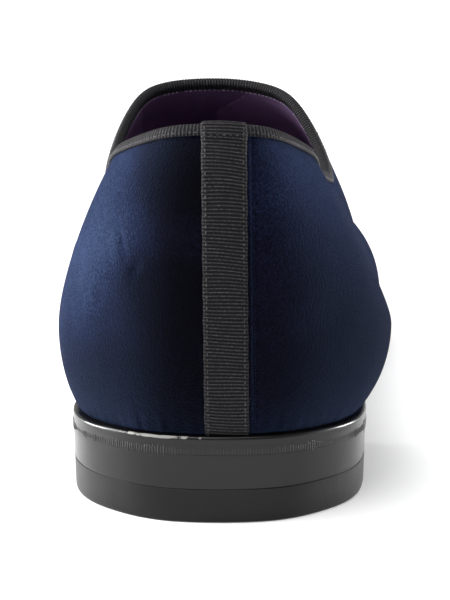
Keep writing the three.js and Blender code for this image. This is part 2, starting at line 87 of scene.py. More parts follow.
# along, width it is a share of, half width, centre line
outlineRows = [
    (0, "heelWidth", 0, 0),
    (0.005, "heelWidth", 0.172, 0),
    (0.03, "heelWidth", 0.34, 0),
    (0.065, "heelWidth", 0.451, 0),
    (0.11, "heelWidth", 0.499, 0),
    (0.18, "heelWidth", 0.498, 0.012),
    (0.26, "waistWidth", 0.515, 0.045),
    (0.36, "waistWidth", 0.492, 0.075),
    (0.46, "ballWidth", 0.363, 0.053),
    (0.56, "ballWidth", 0.43, 0.042),
    (0.64, "ballWidth", 0.478, 0.022),
    (0.7, "ballWidth", 0.493, 0.003),
    (0.78, "ballWidth", 0.465, -0.018),
    (0.86, "ballWidth", 0.402, -0.034),
    (0.93, "ballWidth", 0.31, -0.042),
    (0.975, "ballWidth", 0.2, -0.044),
    (1, "ballWidth", 0, -0.044),
]

# along, bulge outer and inner, its height, uprightness outer and inner, crown outer and inner
sectionRows = [
    (0, 0.5, 0.5, 1.05, 0.9, 0.9, 0.95, 0.95),
    (0.05, 1, 0.78, 1.03, 0.46, 0.54, 0.54, 0.62),
    (0.15, 1.44, 1.05, 1, 0.14, 0.28, 0.3, 0.38),
    (0.25, 1.15, 1.4, 0.95, 0.18, 0.33, 0.4, 0.46),
    (0.33, 0.9, 1.65, 0.9, 0.32, 0.58, 0.55, 0.6),
    (0.4, 0.75, 1.6, 0.84, 0.4, 0.72, 0.66, 0.68),
    (0.47, 0.62, 1.35, 0.77, 0.34, 0.62, 0.66, 0.7),
    (0.56, 0.5, 0.95, 0.69, 0.38, 0.56, 0.62, 0.7),
    (0.66, 0.42, 0.58, 0.61, 0.49, 0.57, 0.61, 0.64),
    (0.8, 0.35, 0.35, 0.55, 0.55, 0.58, 0.6, 0.6),
    (0.92, 0.3, 0.3, 0.52, 0.64, 0.64, 0.64, 0.64),
    (1, 0.3, 0.3, 0.52, 0.7, 0.7, 0.68, 0.68),
]

# along the length, share of the way from the toe's height to the instep's
ridgeRows = [
    (0, 1.1), (0.1, 1.15), (0.2, 1.18), (0.29, 1.2), (0.34, 1.14), (0.381, 1), (0.442, 0.82),
    (0.51, 0.625), (0.595, 0.415), (0.68, 0.25), (0.782, 0.105), (0.88, 0), (1, -0.06),
]

# along the throat's length, height it rises to, share of that rise
toplineRows = [
    (-0.1, "backHeight", 1.04), (0.03, "backHeight", 1), (0.11, "backHeight", 0.84),
    (0.22, "backHeight", 0.62), (0.33, "backHeight", 0.42), (0.44, "backHeight", 0.25),
    (0.55, "backHeight", 0.1), (0.64, "backHeight", 0), (0.71, "instepHeight", 0.05),
    (0.765, "instepHeight", 0.17), (0.81, "instepHeight", 0.36), (0.855, "instepHeight", 0.58),
    (0.9, "instepHeight", 0.77), (0.94, "instepHeight", 0.885), (0.97, "instepHeight", 0.945),
    (1, "instepHeight", 1), (1.05, "instepHeight", 1.05),
]


def mix(a, b, share):
    return a + (b - a) * share


def smoothStep(value, low=0.0, high=1.0):
    u = np.clip((value - low) / (high - low), 0, 1)
    return u * u * (3 - 2 * u)


def dot(a, b):
    return (a * b).sum(-1)


def unit(vectors):
    return vectors / np.linalg.norm(vectors, axis=-1, keepdims=True)


def runAlong(path):
    return np.concatenate([[0], np.cumsum(np.linalg.norm(np.diff(path, axis=0), axis=1))])


def curveThrough(keys, values):
    keys, values = np.array(keys, float), np.array(values, float)
    ends = np.arange(len(keys))
    before, after = np.maximum(ends - 1, 0), np.minimum(ends + 1, len(keys) - 1)
    slopes = (values[after] - values[before]) / (keys[after] - keys[before])

    def at(where):
        i = np.clip(np.searchsorted(keys, where, side="right") - 1, 0, len(keys) - 2)
        span = keys[i + 1] - keys[i]
        u = (where - keys[i]) / span
        v = 1 - u
        level = values[i] * v * v * (1 + 2 * u) + values[i + 1] * u * u * (3 - 2 * u)
        return level + slopes[i] * span * u * v * v - slopes[i + 1] * span * u * u * v

    return at


def turnOf(along):
    return np.arccos(1 - 2 * np.asarray(along, float)) / np.pi


def alongOf(turn):  # 0 at the back, 1 at the toe
    return (1 - np.cos(np.pi * turn)) / 2


def tableCurve(alongs, values, sign=1):
    turns = turnOf(alongs)
    keys = [-turns[1], *turns, 2 - turns[-2]]
    return curveThrough(keys, [sign * values[1], *values, sign * values[-2]])


alongs = [row[0] for row in outlineRows]
halfWidth = tableCurve(alongs, [row[2] * last[row[1]] for row in outlineRows], -1)
centreLine = tableCurve(alongs, [row[3] * last[row[1]] for row in outlineRows])
sectionScales = (1, last["counterBulge"], last["counterBulge"], last["bulgeRise"], 1, 1, 1, 1)
sectionCurves = [
    tableCurve([row[0] for row in sectionRows], [row[i] * sectionScales[i] for row in sectionRows])
    for i in range(1, 8)
]
ridgeHeight = curveThrough(
    [along * last["length"] for along, _ in ridgeRows],
    [mix(last["toeHeight"], last["instepHeight"], share) for _, share in ridgeRows],
)
toplineHeight = curveThrough(
    [along * last["throatLength"] for along, _, _ in toplineRows],
    [mix(last["sideHeight"], last[rise], share) for _, rise, share in toplineRows],
)


def underside(y):
    seat = last["seatHeight"] - last["soleThickness"]
    span = last["treadStart"] - last["breast"]
    u = np.clip((y - last["breast"]) / span, 0, 1)
    v = 1 - u
    waist = (seat - last["seatSlope"] * last["breast"]) * v * v * (1 + 2 * u)
    waist = waist - last["seatSlope"] * span * u * v * v
    spring = np.maximum(y - last["treadEnd"], 0) / (last["length"] - last["treadEnd"])
    seatZ = seat - last["seatSlope"] * y
    return np.where(y <= last["breast"], seatZ, waist + last["toeSpring"] * spring**1.8)


def soleTop(y):
    return underside(y) + last["soleThickness"]


def aboveSole(lift):
    def height(y):
        return soleTop(y) + lift

    return height


def outline(turn, inset=0.0):  # the sole's edge, moved inwards square to itself
    def at(value):
        wrapped = np.where(value > 1, value - 2, np.where(value <= -1, value + 2, value))
        around = np.abs(wrapped)
        across = centreLine(around) + np.sign(wrapped) * halfWidth(around)
        return np.stack([across, last["length"] * alongOf(around)], -1)

    turn = np.asarray(turn, float)
    run = unit(at(turn + 1e-3) - at(turn - 1e-3))
    inwards = np.stack([-run[..., 1], run[..., 0]], -1)
    return at(turn) + inwards * np.asarray(inset, float)[..., None]


def upperFace(turn, level):  # level 0 at the foot, bulgeLevel at the widest line, 1 at the ridge
    turn, level = np.broadcast_arrays(np.asarray(turn, float), np.asarray(level, float))
    around = np.abs(turn)
    bulges, sides, crowns = (
        np.where(turn < 0, sectionCurves[i + 1](around), sectionCurves[i](around)) for i in (0, 3, 5)
    )
    rise = sectionCurves[2](around)
    foot = outline(turn, last["ledge"])
    ridgeY = mix(last["heelPole"], last["toePole"], alongOf(around) ** 1.25)
    ridge = np.stack([np.full_like(ridgeY, -last["ridgeShift"]), ridgeY], -1)
    reach = np.linalg.norm(foot - ridge, axis=-1)
    out = (foot - ridge) / reach[..., None]
    footZ = soleTop(foot[..., 1]) + last["footGap"]
    low = level / last["bulgeLevel"]
    swing = np.clip(low, 0, 1) * np.pi / 2
    steep = last["footSteepness"]
    lowRadius = reach + bulges * np.sin(swing)
    lowZ = footZ + rise * ((1 - steep) * (1 - np.cos(swing)) + steep * low)
    u = np.clip((level - last["bulgeLevel"]) / (1 - last["bulgeLevel"]), 0, 1)
    v = 1 - u
    highRadius = (reach + bulges) * v * (v * v + 3 * v * u + 3 * u * u * crowns)
    top = ridgeHeight(ridgeY)
    highZ = footZ + rise + (top - footZ - rise) * u * (3 * v * v * sides + 3 * v * u + u * u)
    slope = ridgeHeight(ridgeY + out[..., 1] * highRadius) - top
    highZ = highZ + slope * smoothStep(u)
    isLow = level <= last["bulgeLevel"]
    radius = np.where(isLow, lowRadius, highRadius)
    spot = ridge + out * radius[..., None]
    return np.concatenate([spot, np.where(isLow, lowZ, highZ)[..., None]], -1)


def faceNormal(turn, level):
    turn, level = np.broadcast_arrays(np.asarray(turn, float), np.asarray(level, float))
    step = 1e-3
    along = upperFace(turn + step, level) - upperFace(turn - step, level)
    up = upperFace(turn, level + step) - upperFace(turn, np.maximum(level - step, 0))
    around = np.clip(np.abs(turn), step, 1 - step)  # off the two poles, where the ridge has no direction
    run = upperFace(around + step, 1.0) - upperFace(around - step, 1.0)
    atRidge = np.stack([np.zeros_like(turn), -run[..., 2], run[..., 1]], -1)
    normal = np.cross(along, up)
    return unit(np.where((level > 1 - 2 * step)[..., None], atRidge, normal))


def toplineLevel(turn):
    def above(where, level):
        point = upperFace(where, level)
        share = np.clip(point[..., 1] / last["throatLength"], 0, 1)
        dip = np.where(where > 0, last["sideDip"] * np.sin(np.pi * share) ** 2, 0)
        return point[..., 2] - toplineHeight(point[..., 1]) + dip

    turn = np.atleast_1d(np.asarray(turn, float))
    checks = 240
    levels = np.arange(1, checks + 1) / checks
    past = above(turn[:, None], levels[None, :]) >= 0
    first = past.argmax(1)
    high = levels[first]
    low = high - 1 / checks
    for _ in range(26):
        middle = (low + high) / 2
        under = above(turn, middle) < 0
        low, high = np.where(under, middle, low), np.where(under, high, middle)
    return np.where(past.any(1), high, 1.0)


def lastTurn(isBefore, high):
    low = 0.0
    for _ in range(40):
        middle = (low + high) / 2
        low, high = (middle, high) if isBefore(middle) else (low, middle)
    return high


def behindThroat(turn):
    tip = upperFace(turn, 1.0)
    return toplineHeight(tip[1]) < tip[2]


throatTurn = lastTurn(behindThroat, 1.0)


def topLevel(turn):
    return np.where(np.abs(turn) >= throatTurn, 1.0, toplineLevel(turn))


def spreadTurns(first, final, count, bendWeight=40):
    u = np.linspace(0, 1, 500)
    turns = mix(first, final, 1 - (1 - u) ** 3)
    foot, tip = upperFace(turns, 0.0), upperFace(turns, topLevel(turns))
    facing = faceNormal(turns, last["bulgeLevel"])
    step = np.linalg.norm(np.diff(foot, axis=0), axis=1) + np.linalg.norm(np.diff(tip, axis=0), axis=1)
    bend = np.arccos(np.clip(dot(facing[1:], facing[:-1]), -1, 1))
    run = np.concatenate([[0], np.cumsum(step + bend * bendWeight)])
    return np.interp(np.linspace(0, run[-1], count + 1), run, turns)


def sectionLevels(turns, shares, tops=None):  # levels at shares of each section's length, from the top
    tops = topLevel(turns) if tops is None else tops
    samples = np.linspace(0, 1, 161)
    levels = tops[:, None] * (1 - samples[None, :])
    points = upperFace(turns[:, None], levels)
    run = np.concatenate(
        [np.zeros((len(turns), 1)), np.cumsum(np.linalg.norm(np.diff(points, axis=1), axis=2), 1)], 1
    )
    lengths = run[:, -1]
    found = np.stack([np.interp(shares * lengths[i], run[i], levels[i]) for i in range(len(turns))])
    return found, lengths


def nearestOn(turn, level, target):
    step = 1e-4
    for _ in range(8):
        here = upperFace(turn, level)
        along = (upperFace(turn + step, level) - here) / step
        up = (here - upperFace(turn, level - step)) / step
        miss = target - here
        aa, au, uu = dot(along, along), dot(along, up), dot(up, up)
        am, um = dot(along, miss), dot(up, miss)
        scale = aa * uu - au * au
        turn = turn + (am * uu - um * au) / scale
        level = np.clip(level + (um * aa - am * au) / scale, 0, 1)
    return turn, level


sideShift = soleHigh.x - outline(np.linspace(0.3, 0.9, 2000))[:, 0].max()


def toMetres(points):
    return (np.asarray(points, float) + [sideShift, soleLow.y, 0]) * mm


# Meshes


def gridFaces(rows, cols, wrap=False, first=0):
    faces = []
    for r in range(rows - 1):
        for c in range(cols if wrap else cols - 1):
            n = (c + 1) % cols
            a, b = first + r * cols, first + (r + 1) * cols
            faces.append((a + c, a + n, b + n, b + c))
    return faces


def sheetFaces(columns, rows):  # two sheets of points, column by column, closed round their edges
    faces = []
    back = columns * rows
    for c in range(columns - 1):
        for r in range(rows - 1):
            a, b = c * rows + r, (c + 1) * rows + r
            faces.append((a, a + 1, b + 1, b))
            faces.append((back + a, back + b, back + b + 1, back + a + 1))
        for r in (0, rows - 1):
            a, b = c * rows + r, (c + 1) * rows + r
            faces.append((a, b, back + b, back + a))
    for c in (0, columns - 1):
        for a in range(c * rows, c * rows + rows - 1):
            faces.append((a, back + a, back + a + 1, a + 1))
    return faces


def together(*grids):
    return np.concatenate([np.asarray(grid).reshape(-1, 3) for grid in grids])


def makePiece(name, points, faces, material, values=None, sharpAngle=None):
    mesh = bpy.data.meshes.new(name)
    mesh.from_pydata(toMetres(points).tolist(), [], faces)
    for label, data in (values or {}).items():
        mesh.attributes.new(label, "FLOAT", "POINT").data.foreach_set("value", np.float32(data).ravel())
    build = bmesh.new()
    build.from_mesh(mesh)
    bmesh.ops.remove_doubles(build, verts=build.verts, dist=1e-6)
    bmesh.ops.recalc_face_normals(build, faces=build.faces)
    build.to_mesh(mesh)
    build.free()
    mesh.shade_smooth()
    if sharpAngle:
        mesh.set_sharp_from_angle(angle=math.radians(sharpAngle))
    mesh.materials.append(material)
    piece = bpy.data.objects.new(name, mesh)
    scene.collection.objects.link(piece)
    return piece


def makePaths(name, paths, closed=False):  # polylines for a Geometry Nodes tree to run along
    points, edges = [], []
    for path in paths:
        first = len(points)
        points.extend(toMetres(path).tolist())
        edges.extend((first + i, first + i + 1) for i in range(len(path) - 1))
        if closed:
            edges.append((len(points) - 1, first))
    mesh = bpy.data.meshes.new(name)
    mesh.from_pydata(points, edges, [])
    piece = bpy.data.objects.new(name, mesh)
    scene.collection.objects.link(piece)
    return piece


def addNode(tree, kind, settings=None, inputs=None):
    node = tree.nodes.new(kind)
    for label, value in (settings or {}).items():
        setattr(node, label, value)
    for label, value in (inputs or {}).items():
        if isinstance(value, bpy.types.NodeSocket):
            tree.links.new(value, node.inputs[label])
        else:
            node.inputs[label].default_value = value
    return node


def newTree(name, sizes):
    tree = bpy.data.node_groups.new(name, "GeometryNodeTree")
    tree.interface.new_socket("Geometry", in_out="INPUT", socket_type="NodeSocketGeometry")
    for label in sizes:
        tree.interface.new_socket(label, in_out="INPUT", socket_type="NodeSocketFloat")
    tree.interface.new_socket("Material", in_out="INPUT", socket_type="NodeSocketMaterial")
    tree.interface.new_socket("Geometry", in_out="OUTPUT", socket_type="NodeSocketGeometry")
    return tree, tree.nodes.new("NodeGroupInput")


def endTree(tree, given, geometry):
    real = addNode(tree, "GeometryNodeRealizeInstances", inputs={"Geometry": geometry})
    painted = addNode(
        tree, "GeometryNodeSetMaterial",
        inputs={"Geometry": real.outputs["Geometry"], "Material": given.outputs["Material"]},
    )
    output = tree.nodes.new("NodeGroupOutput")
    tree.links.new(painted.outputs["Geometry"], output.inputs["Geometry"])
    return tree


def runTree(piece, tree, sizes, material):
    modifier = piece.modifiers.new(tree.name, "NODES")
    modifier.node_group = tree
    for item in tree.interface.items_tree:
        if item.in_out == "INPUT" and item.name in sizes:
            modifier[item.identifier] = float(sizes[item.name])
        if item.in_out == "INPUT" and item.name == "Material":
            modifier[item.identifier] = material
    seen = piece.evaluated_get(bpy.context.evaluated_depsgraph_get())
    mesh = bpy.data.meshes.new_from_object(seen)
    piece.modifiers.clear()
    piece.data = mesh
    if not mesh.materials:
        mesh.materials.append(material)
    return piece


def inputSizes(sizes):  # millimetres to metres, shares as they are
    shares = ("Unevenness", "Fading")
    return {label: size if label in shares else size * mm for label, size in sizes.items()}


def mapRange(tree, value, fromLow, fromHigh, toLow, toHigh):
    return addNode(tree, "ShaderNodeMapRange", inputs={
        "Value": value, "From Min": fromLow, "From Max": fromHigh, "To Min": toLow, "To Max": toHigh,
    }).outputs["Result"]


def calc(tree, operation, a, b=0.0, c=0.0):
    return addNode(tree, "ShaderNodeMath", {"operation": operation}, {0: a, 1: b, 2: c}).outputs[0]


# Cross ribs of grosgrain: the shown face swells once for every whole number of the "ribs" attribute.
def ribTree():
    tree, given = newTree("ribbonRibs", ["Depth"])
    ribs = addNode(tree, "GeometryNodeInputNamedAttribute", {"data_type": "FLOAT"}, {"Name": "ribs"})
    shown = addNode(tree, "GeometryNodeInputNamedAttribute", {"data_type": "FLOAT"}, {"Name": "shown"})
    wave = calc(tree, "SINE", calc(tree, "MULTIPLY", ribs.outputs["Attribute"], math.pi))
    swell = calc(tree, "POWER", calc(tree, "ABSOLUTE", wave), 0.7)
    height = calc(tree, "MULTIPLY", swell, given.outputs["Depth"])
    height = calc(tree, "MULTIPLY", height, shown.outputs["Attribute"])
    normal = addNode(tree, "GeometryNodeInputNormal")
    offset = addNode(tree, "ShaderNodeVectorMath", {"operation": "SCALE"},
                     {0: normal.outputs[0], "Scale": height})
    moved = addNode(tree, "GeometryNodeSetPosition",
                    inputs={"Geometry": given.outputs["Geometry"], "Offset": offset.outputs[0]})
    return endTree(tree, given, moved.outputs["Geometry"])


# Small rounded lengths of thread, or wheel marks, set along a path.
def alongPathTree(name, upright=False):
    tree, given = newTree(name, ["Pitch", "Length", "Thickness", "Depth", "Unevenness", "Fading"])
    curve = addNode(tree, "GeometryNodeMeshToCurve", inputs={"Mesh": given.outputs["Geometry"]})
    spaced = addNode(tree, "GeometryNodeResampleCurve", {"mode": "LENGTH"},
                     {"Curve": curve.outputs["Curve"], "Length": given.outputs["Pitch"]})
    ball = addNode(tree, "GeometryNodeMeshUVSphere", inputs={"Segments": 8, "Rings": 6, "Radius": 0.5})
    size = addNode(tree, "ShaderNodeCombineXYZ", inputs={
        "X": given.outputs["Thickness" if upright else "Length"],
        "Y": given.outputs["Depth"],
        "Z": given.outputs["Length" if upright else "Thickness"],
    })
    tangent = addNode(tree, "GeometryNodeInputTangent").outputs[0]
    turned = addNode(tree, "FunctionNodeAlignRotationToVector",
                     {"axis": "X", "pivot_axis": "Z" if upright else "AUTO"}, {"Vector": tangent})
    placed = addNode(tree, "GeometryNodeInstanceOnPoints", inputs={
        "Points": spaced.outputs["Curve"], "Instance": ball.outputs["Mesh"],
        "Rotation": turned.outputs["Rotation"], "Scale": size.outputs["Vector"],
    })
    chance = addNode(tree, "FunctionNodeRandomValue", {"data_type": "FLOAT"}, {"Seed": 11})
    lower = calc(tree, "SUBTRACT", 1.0, given.outputs["Unevenness"])
    share = mapRange(tree, chance.outputs[1], 0, 1, lower, 1)
    patches = noise(tree, addNode(tree, "GeometryNodeInputPosition").outputs["Position"], 70, 2)
    lost = calc(tree, "MULTIPLY", mapRange(tree, patches, 0.42, 0.62, 0, 1), given.outputs["Fading"])
    kept = calc(tree, "MULTIPLY", share, calc(tree, "SUBTRACT", 1.0, lost))
    varied = addNode(tree, "GeometryNodeScaleInstances",
                     inputs={"Instances": placed.outputs["Instances"], "Scale": kept})
    return endTree(tree, given, varied.outputs["Instances"])


# Materials


def newMaterial(name, sockets):
    material = bpy.data.materials.new(name)
    material.use_nodes = True
    shader = material.node_tree.nodes["Principled BSDF"]
    for label, value in sockets.items():
        shader.inputs[label].default_value = value
    return material, material.node_tree, shader


def noise(tree, vector, scale, detail=3.0, roughness=0.55, distortion=0.0):
    return addNode(tree, "ShaderNodeTexNoise", inputs={
        "Vector": vector, "Scale": scale, "Detail": detail,
        "Roughness": roughness, "Distortion": distortion,
    }).outputs["Fac"]


def ramp(tree, value, stops):
    node = addNode(tree, "ShaderNodeValToRGB", inputs={"Fac": value})
    while len(node.color_ramp.elements) < len(stops):
        node.color_ramp.elements.new(0.5)
    for element, (place, colour) in zip(node.color_ramp.elements, stops):
        element.position = place
        element.color = (*colour, 1)
    return node.outputs["Color"]


def bump(tree, height, distance, strength, below=None):
    inputs = {"Height": height, "Distance": distance, "Strength": strength}
    if below:
        inputs["Normal"] = below
    return addNode(tree, "ShaderNodeBump", inputs=inputs).outputs["Normal"]


def objectPlace(tree, stretch=(1, 1, 1)):
    place = addNode(tree, "ShaderNodeTexCoord").outputs["Object"]
    return addNode(tree, "ShaderNodeMapping", inputs={"Vector": place, "Scale": stretch}).outputs[0]


def attribute(tree, name):
    return addNode(tree, "ShaderNodeAttribute", {"attribute_name": name}).outputs["Fac"]


def weigh(tree, parts):  # sum of (value, weight)
    total = calc(tree, "MULTIPLY", *parts[0])
    for value, weight in parts[1:]:
        total = calc(tree, "MULTIPLY_ADD", value, weight, total)
    return total


def velvetMaterial():
    material, tree, shader = newMaterial("navyVelvet", {
        "Roughness": 0.9, "Specular IOR Level": 0.03, "Sheen Weight": 0.5,
        "Sheen Roughness": 0.27, "Sheen Tint": (0.09, 0.155, 0.35, 1),
    })
    clouds = noise(tree, objectPlace(tree), 17, 3, 0.5, 0.6)
    ruffled = noise(tree, objectPlace(tree, (1, 1, 0.8)), 110, 4, 0.55, 0.3)
    pile = noise(tree, objectPlace(tree), 1900, 4, 0.78)
    # The patch attribute adds painted light on the left flank and painted shade low down and on the
    # right flank, besides the pile's own lie
    tone = weigh(tree, [(clouds, 0.14), (ruffled, 0.16), (pile, 0.7), (attribute(tree, "napAndPaintedLight"), 0.3)])
    colour = ramp(tree, tone, [(0.3, (0.001, 0.0008, 0.002)), (0.44, (0.0028, 0.0026, 0.0078)),
                               (0.58, (0.0075, 0.0105, 0.031)), (0.78, (0.034, 0.054, 0.112))])
    tree.links.new(colour, shader.inputs["Base Color"])
    lean = bump(tree, clouds, 0.004, 0.25)
    lean = bump(tree, ruffled, 0.0006, 0.25, lean)
    tree.links.new(bump(tree, pile, 0.0008, 1.0, lean), shader.inputs["Normal"])
    return material


def ribbonMaterial():
    material, tree, shader = newMaterial("charcoalGrosgrain", {
        "Roughness": 0.58, "Specular IOR Level": 0.16, "Sheen Weight": 0.04,
        "Sheen Roughness": 0.4, "Sheen Tint": (0.75, 0.72, 0.8, 1),
    })
    yarn = noise(tree, objectPlace(tree), 3400, 3, 0.7)
    # Painted shade in the rib valleys and painted highlights on the rib crests, flecked by the yarn's
    # random tone; the ribs also swell as geometry
    wave = calc(tree, "SINE", calc(tree, "MULTIPLY", attribute(tree, "ribs"), math.pi))
    rib = calc(tree, "ABSOLUTE", wave)
    ribShadeAndYarnTone = calc(tree, "MULTIPLY", calc(tree, "POWER", rib, 3.0), yarn)
    colour = ramp(tree, ribShadeAndYarnTone, [(0.05, (0.0016, 0.0014, 0.002)), (0.3, (0.0062, 0.0056, 0.0068)),
                               (0.48, (0.02, 0.0185, 0.021)), (0.66, (0.095, 0.088, 0.1))])
    tree.links.new(colour, shader.inputs["Base Color"])
    tree.links.new(bump(tree, yarn, 0.0002, 0.9), shader.inputs["Normal"])
    return material


def leatherMaterial(name, dark, light, roughness, coat=0.0, grain=1400, depth=0.00006, level=0.5,
                    lipHighlight=False):
    material, tree, shader = newMaterial(name, {
        "Specular IOR Level": level, "Coat Weight": coat, "Coat Roughness": 0.12,
    })
    cloud = noise(tree, objectPlace(tree), 55, 4, 0.6, 0.6)
    pores = noise(tree, objectPlace(tree), grain, 3)
    colour = ramp(tree, cloud, [(0.3, dark), (0.7, light)])
    if lipHighlight:
        # Painted highlight: lighter flecks along the sole's top lip, where its rounded edge would catch
        # the light
        spots = noise(tree, objectPlace(tree), 520, 3, 0.6)
        spots = calc(tree, "MULTIPLY", spots, attribute(tree, "lip"))
        paintedHighlight = ramp(tree, spots, [(0.49, (0, 0, 0)), (0.6, (0.24, 0.235, 0.225))])
        colour = addNode(tree, "ShaderNodeMix", {"data_type": "RGBA", "blend_type": "ADD"},
                         {0: 1.0, 6: colour, 7: paintedHighlight}).outputs[2]
    tree.links.new(colour, shader.inputs["Base Color"])
    worn = mapRange(tree, cloud, 0, 1, roughness * 0.8, roughness * 1.25)
    tree.links.new(worn, shader.inputs["Roughness"])
    lean = bump(tree, cloud, 0.0006, 0.25)
    tree.links.new(bump(tree, pores, depth, 0.6, lean), shader.inputs["Normal"])
    return material


velvet = velvetMaterial()
ribbon = ribbonMaterial()
# Painted light: the lining and the quarter lining take the sock's purple leather painted lighter, to
# stand in for light that falls short inside the shoe; the quarter lining lighter still
lining = leatherMaterial("purpleLiningPaintedLighter", (0.1, 0.055, 0.12), (0.17, 0.1, 0.2), 0.42, level=0.4)
sockLeather = leatherMaterial("purpleSock", (0.04, 0.019, 0.054), (0.07, 0.036, 0.09), 0.45, level=0.35)
edgeLeather = leatherMaterial("polishedEdge", (0.003, 0.003, 0.0033), (0.0065, 0.0064, 0.007), 0.24,
                              coat=0.1, grain=900, depth=0.00002, level=0.25, lipHighlight=True)
topRubber = leatherMaterial("topPieceRubber", (0.0035, 0.0035, 0.0038), (0.007, 0.0069, 0.0075), 0.38,
                            grain=1800, depth=0.00004, level=0.2)
quarterLeatherPaintedLighter = leatherMaterial("purpleQuarterLiningPaintedLighter", (0.16, 0.094, 0.19), (0.26, 0.16, 0.3), 0.4,
                                 level=0.4)
tickLeather = leatherMaterial("wheelMarks", (0.009, 0.0086, 0.0082), (0.03, 0.028, 0.026), 0.38)
thread = leatherMaterial("charcoalThread", (0.012, 0.011, 0.013), (0.06, 0.055, 0.062), 0.6)
paleThread = leatherMaterial("lilacThread", (0.22, 0.17, 0.28), (0.5, 0.42, 0.58), 0.55)
print("materials made")

# The upper: velvet outside, lining inside, each a closed shell
upperSizes = {
    "openingColumns": 166, "vampColumns": 112, "rows": 84,
    "edgeShare": 0.66,  # the wall is skived to this share of its thickness at the topline
    "skive": 9, "velvetShare": 0.48, "vampLiningShare": 0.8,
    "puckerHeight": 4, "puckerDepth": 0.2,
    "puckerWaves": ((1.9, 0, 0.5), (0.83, 1, 0.35), (3.1, 2, 0.3)),  # radians per mm, start, share
    "seamSpread": (-1.1, 1.3), "seamColumns": 13,
}

# Soft troughs pressed into the pile: turn, level, length, width, depth, tilt
creases = [
    (-0.099, 0.42, 3.4, 1.0, 0.75, 118), (-0.078, 0.363, 2.2, 1.1, 0.55, 60),
    (-0.125, 0.33, 3, 1.4, 0.3, 80), (0.11, 0.3, 8, 4, 0.35, 20), (0.5, 0.72, 16, 6, 0.6, 75),
    (-0.5, 0.72, 16, 6, 0.55, 105), (0.56, 0.8, 14, 5, 0.5, 85), (-0.57, 0.84, 14, 5, 0.5, 95),
]

# The pile's tone, partly its own lie, darkest beside the strap; partly painted light on the left flank
# where the lamp falls and painted shade low down and on the right flank: turn, level, radius, amount
napAndPaintedLightPatches = [
    (-0.03, 0.51, 9, -1.2), (-0.03, 0.31, 10, -1.3), (-0.039, 0.16, 9, -1.1), (-0.035, 0.06, 6, -0.5),
    (-0.045, 0.65, 7, -0.8), (-0.07, 0.33, 8, -0.35), (-0.14, 0.42, 17, 0.42), (-0.13, 0.62, 11, 0.25),
    (-0.2, 0.28, 18, 0.3), (-0.3, 0.6, 22, 0.2), (-0.1, 0.12, 12, -0.6), (-0.17, 0.1, 14, -0.6),
    (0.13, 0.12, 18, -0.5), (0.21, 0.2, 18, -0.3), (-0.24, 0.08, 14, -0.35), (-0.15, 0.45, 16, 0.2),
    (0.05, 0.2, 12, -0.3), (0.06, 0.35, 10, -0.25), (0.126, 0.12, 12, -0.6), (0.14, 0.32, 15, -0.4),
    (0.1, 0.58, 9, 0.12), (0.2, 0.15, 14, -0.4), (0.3, 0.3, 22, -0.3), (-0.1, 0.03, 6, 0.5),
]

# Soft wrinkles of the lining under the instep, in the same order as the creases
liningCreases = [
    (0.4876, 0.97, 5, 1.4, 0.45, 60), (0.478, 0.945, 4, 1.3, 0.35, 110),
    (-0.478, 0.95, 5, 1.5, 0.4, 70), (-0.492, 0.92, 6, 1.6, 0.35, 40),
]


def taper(below):
    return mix(upperSizes["edgeShare"], 1.0, smoothStep(below, 0, upperSizes["skive"]))


# The faint line of a seam under the pile, beside the strap
seamLine = {"across": 7.4, "lean": 0.011, "width": 0.32, "depth": 0.3, "reach": 30}


def seamTrough(points):
    line = seamLine["across"] - seamLine["lean"] * (points[..., 2] - 50)
    fade = 1 - smoothStep(points[..., 1], seamLine["reach"] / 2, seamLine["reach"])
    return -seamLine["depth"] * fade * np.exp(-(((points[..., 0] - line) / seamLine["width"]) ** 2))


def nearPatches(points, patches):
    amounts = np.zeros(points.shape[:-1])
    for turn, level, radius, amount in patches:
        away = np.linalg.norm(points - upperFace(turn, level), axis=-1) / radius
        amounts += amount * np.exp(-(away**2))
    return amounts


def pressed(points, troughs):
    depth = np.zeros(points.shape[:-1])
    for turn, level, length, width, amount, tilt in troughs:
        centre = upperFace(turn, level)
        normal = faceNormal(turn, level)
        across = unit(np.cross([0, 0, 1.0], normal))
        up = np.cross(normal, across)
        lean = math.radians(tilt)
        way = across * math.cos(lean) + up * math.sin(lean)
        side = np.cross(normal, way)
        away = points - centre
        u, v, w = away @ way / length, away @ side / width, away @ normal / 14
        depth -= amount * np.exp(-(u * u) - v * v - w * w)
    return depth


def upperGrid(turns, rows):
    shares = np.linspace(0, 1, rows)
    levels, lengths = sectionLevels(turns, shares)
    points = upperFace(turns[:, None], levels)
    normals = faceNormal(turns[:, None], levels)
    flatter = normals[:, -1] * [1, 1, 0]
    normals[:, -1] = unit(flatter)
    return points, normals, shares[None, :] * lengths[:, None]


def upperTurns(opening, vamp, extra):
    half = np.concatenate([spreadTurns(0, throatTurn, opening), spreadTurns(throatTurn, 1, vamp)[1:]])
    outer = np.concatenate([half[(half < extra[0] - 1e-3) | (half > extra[-1] + 1e-3)], extra])
    return np.concatenate([np.sort(outer), -half[1:-1][::-1]])


def shellFaces(columns, rows, openEdge):  # points column by column, top to foot: all outer, all inner
    faces = []
    inner = columns * rows
    for c in range(columns):
        n = (c + 1) % columns
        for r in range(rows - 1):
            a, b = c * rows + r, n * rows + r
            faces.append((a, b, b + 1, a + 1))
            faces.append((inner + a + 1, inner + b + 1, inner + b, inner + a))
        foot, nextFoot = c * rows + rows - 1, n * rows + rows - 1
        faces.append((foot, nextFoot, inner + nextFoot, inner + foot))
        if openEdge[c] and openEdge[n]:
            faces.append((inner + c * rows, inner + n * rows, n * rows, c * rows))
    return faces


